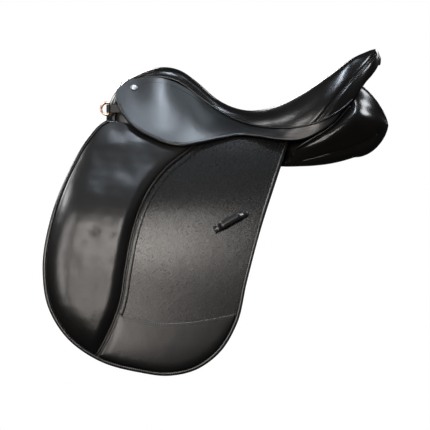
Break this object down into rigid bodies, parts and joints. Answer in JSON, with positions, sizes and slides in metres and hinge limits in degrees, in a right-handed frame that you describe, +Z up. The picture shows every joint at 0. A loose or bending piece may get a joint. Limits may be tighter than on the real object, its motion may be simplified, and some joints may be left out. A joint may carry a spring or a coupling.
{
  "type": "english saddle",
  "caption": "English dressage saddle with a deep seat, skirts over stirrup bars, long lifting flaps with padded blocks, girth straps, stuffed panels and swinging dees.",
  "frame": {"origin": "on the middle plane under the seat's lowest point, level with the lowest line of the panels", "axes": "+X towards the horse's left, +Y towards the cantle, +Z up"},
  "size_m": [0.44, 0.619, 0.584],
  "materials": {
    "smooth_leather": "smooth black calf leather with a soft polish",
    "flap_leather": "fine-grained black leather, satin",
    "panel_leather": "smooth black panel leather, glossier",
    "strap_leather": "black bridle leather with waxed edges",
    "foam": "latex foam",
    "wool": "wool flocking",
    "webbing": "woven jute and nylon web",
    "tree_wood": "laminated beech, lacquered",
    "tree_steel": "blued spring steel",
    "bar_steel": "forged stainless steel",
    "copper_metal": "polished rose-gold plated brass",
    "nail_metal": "polished nickel silver"
  },
  "bodies": {
    "root": {"tree_head": "tree_wood", "left_tree_rail": "tree_wood", "right_tree_rail": "tree_wood", "cantle_board": "tree_wood", "gullet_plate": "tree_steel", "head_plate": "tree_steel", "tree_springs": "tree_steel", "straining_webs": "webbing", "cross_web": "webbing", "seat_foam": "foam", "seat_cover": "smooth_leather", "seat_welt": "strap_leather", "saddle_nails": "nail_metal", "cantle_facing": "smooth_leather", "head_facing": "smooth_leather", "bar_rivets": "bar_steel", "catch_pins": "bar_steel", "left_skirt_upper": "smooth_leather", "left_panel_cover": "panel_leather", "left_flocking": "wool", "left_sweat_flap": "strap_leather", "left_point_pocket": "strap_leather", "left_dee_tab": "strap_leather", "left_girth_web": "webbing", "left_stirrup_bar": "bar_steel", "left_flap_top": "flap_leather", "right_skirt_upper": "smooth_leather", "right_panel_cover": "panel_leather", "right_flocking": "wool", "right_sweat_flap": "strap_leather", "right_point_pocket": "strap_leather", "right_dee_tab": "strap_leather", "right_girth_web": "webbing", "right_stirrup_bar": "bar_steel", "right_flap_top": "flap_leather"},
    "left_flap": {"left_flap": "flap_leather", "left_flap_binding": "strap_leather", "left_block_core": "foam", "left_block_cover": "flap_leather", "left_flap_welt": "strap_leather", "left_wear_patch": "smooth_leather", "left_keeper": "strap_leather"},
    "left_skirt": {"left_skirt_lobe": "smooth_leather"},
    "left_dee": {"left_dee_ring": "copper_metal"},
    "left_catch": {"left_bar_catch": "bar_steel"},
    "left_front_strap": {"left_front_billet": "strap_leather"},
    "left_rear_strap": {"left_rear_billet": "strap_leather"},
    "right_flap": {"right_flap": "flap_leather", "right_flap_binding": "strap_leather", "right_block_core": "foam", "right_block_cover": "flap_leather", "right_flap_welt": "strap_leather", "right_wear_patch": "smooth_leather", "right_keeper": "strap_leather"},
    "right_skirt": {"right_skirt_lobe": "smooth_leather"},
    "right_dee": {"right_dee_ring": "copper_metal"},
    "right_catch": {"right_bar_catch": "bar_steel"},
    "right_front_strap": {"right_front_billet": "strap_leather"},
    "right_rear_strap": {"right_rear_billet": "strap_leather"}
  },
  "joints": [
    {"name": "left_flap_lift", "type": "hinge", "parent": "root", "child": "left_flap", "pos_m": [0.11466, -0.14, 0.028], "axis": [0, -1, 0], "range_deg": [0, 85]},
    {"name": "left_skirt_lift", "type": "hinge", "parent": "root", "child": "left_skirt", "pos_m": [0.09277, -0.127, 0.0877], "axis": [-0.1238, -0.9632, 0.2385], "range_deg": [0, 70]},
    {"name": "left_dee_swing", "type": "hinge", "parent": "root", "child": "left_dee", "pos_m": [0.0675, -0.246, 0.102], "axis": [0, 0, 1], "range_deg": [0, 80]},
    {"name": "left_catch_turn", "type": "hinge", "parent": "root", "child": "left_catch", "pos_m": [0.06916, -0.058, 0.07808], "axis": [0.5039, 0, -0.8638], "range_deg": [0, 80]},
    {"name": "left_front_billet_swing", "type": "hinge", "parent": "root", "child": "left_front_strap", "pos_m": [0.11261, -0.15, 0.012], "axis": [0.9076, 0, 0.4199], "range_deg": [-5, 5]},
    {"name": "left_rear_billet_swing", "type": "hinge", "parent": "root", "child": "left_rear_strap", "pos_m": [0.11261, -0.076, 0.012], "axis": [0.9076, 0, 0.4199], "range_deg": [-5, 5]},
    {"name": "right_flap_lift", "type": "hinge", "parent": "root", "child": "right_flap", "pos_m": [-0.11466, -0.14, 0.028], "axis": [0, 1, 0], "range_deg": [0, 85]},
    {"name": "right_skirt_lift", "type": "hinge", "parent": "root", "child": "right_skirt", "pos_m": [-0.09277, -0.127, 0.0877], "axis": [-0.1238, 0.9632, -0.2385], "range_deg": [0, 70]},
    {"name": "right_dee_swing", "type": "hinge", "parent": "root", "child": "right_dee", "pos_m": [-0.0675, -0.246, 0.102], "axis": [0, 0, -1], "range_deg": [0, 80]},
    {"name": "right_catch_turn", "type": "hinge", "parent": "root", "child": "right_catch", "pos_m": [-0.06916, -0.058, 0.07808], "axis": [0.5039, 0, 0.8638], "range_deg": [0, 80]},
    {"name": "right_front_billet_swing", "type": "hinge", "parent": "root", "child": "right_front_strap", "pos_m": [-0.11261, -0.15, 0.012], "axis": [0.9076, 0, -0.4199], "range_deg": [-5, 5]},
    {"name": "right_rear_billet_swing", "type": "hinge", "parent": "root", "child": "right_rear_strap", "pos_m": [-0.11261, -0.076, 0.012], "axis": [0.9076, 0, -0.4199], "range_deg": [-5, 5]}
  ]
}
